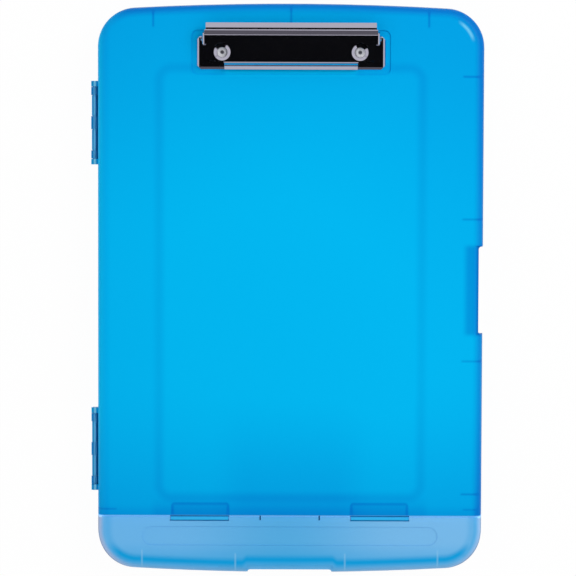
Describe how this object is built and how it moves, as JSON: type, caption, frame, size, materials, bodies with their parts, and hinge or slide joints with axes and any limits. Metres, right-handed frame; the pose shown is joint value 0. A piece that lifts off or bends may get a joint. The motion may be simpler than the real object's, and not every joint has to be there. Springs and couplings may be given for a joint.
{
  "type": "storage clipboard box",
  "caption": "Shallow hinged plastic case for loose sheets, with a low-profile spring clip on its cover and a separately hinged lid over a pen compartment.",
  "frame": {"origin": "middle of the flat raised panel on the back, at the middle of the case's width and length", "axes": "+Z out of the writing side, +Y towards the clip, +X towards the side with the finger notch"},
  "size_m": [0.2472, 0.3588, 0.035],
  "materials": {
    "case_plastic": "bright blue translucent polypropylene, satin gloss",
    "lid_plastic": "clear polypropylene with a fine frosted grain",
    "clip_chrome": "bright nickel-plated sheet steel",
    "spring_steel": "bare drawn spring wire"
  },
  "bodies": {
    "base": {"base_tray": "case_plastic", "lid_hinge_blocks": "case_plastic"},
    "cover": {"front_cover": "case_plastic", "clip_base_plate": "clip_chrome", "pivot_rod": "clip_chrome", "spring_left": "spring_steel", "spring_right": "spring_steel", "rivet_left": "clip_chrome", "rivet_right": "clip_chrome", "rivet_washer_left": "clip_chrome", "rivet_washer_right": "clip_chrome"},
    "lid": {"pen_lid": "lid_plastic"},
    "jaw": {"clip_jaw": "clip_chrome"}
  },
  "joints": [
    {"name": "cover_hinge", "type": "hinge", "parent": "base", "child": "cover", "pos_m": [-0.12395, 0, 0.013], "axis": [0, -1, 0], "range_deg": [0, 170]},
    {"name": "pen_lid_hinge", "type": "hinge", "parent": "base", "child": "lid", "pos_m": [0, -0.14435, 0.02325], "axis": [-1, 0, 0], "range_deg": [0, 90]},
    {"name": "clip_jaw_pivot", "type": "hinge", "parent": "cover", "child": "jaw", "pos_m": [0, 0.1568, 0.02826], "axis": [-1, 0, 0], "range_deg": [0, 25], "stiffness_Nm_per_rad": 0.25, "springref_deg": -51.57, "deforming": ["spring_left", "spring_right"]}
  ]
}
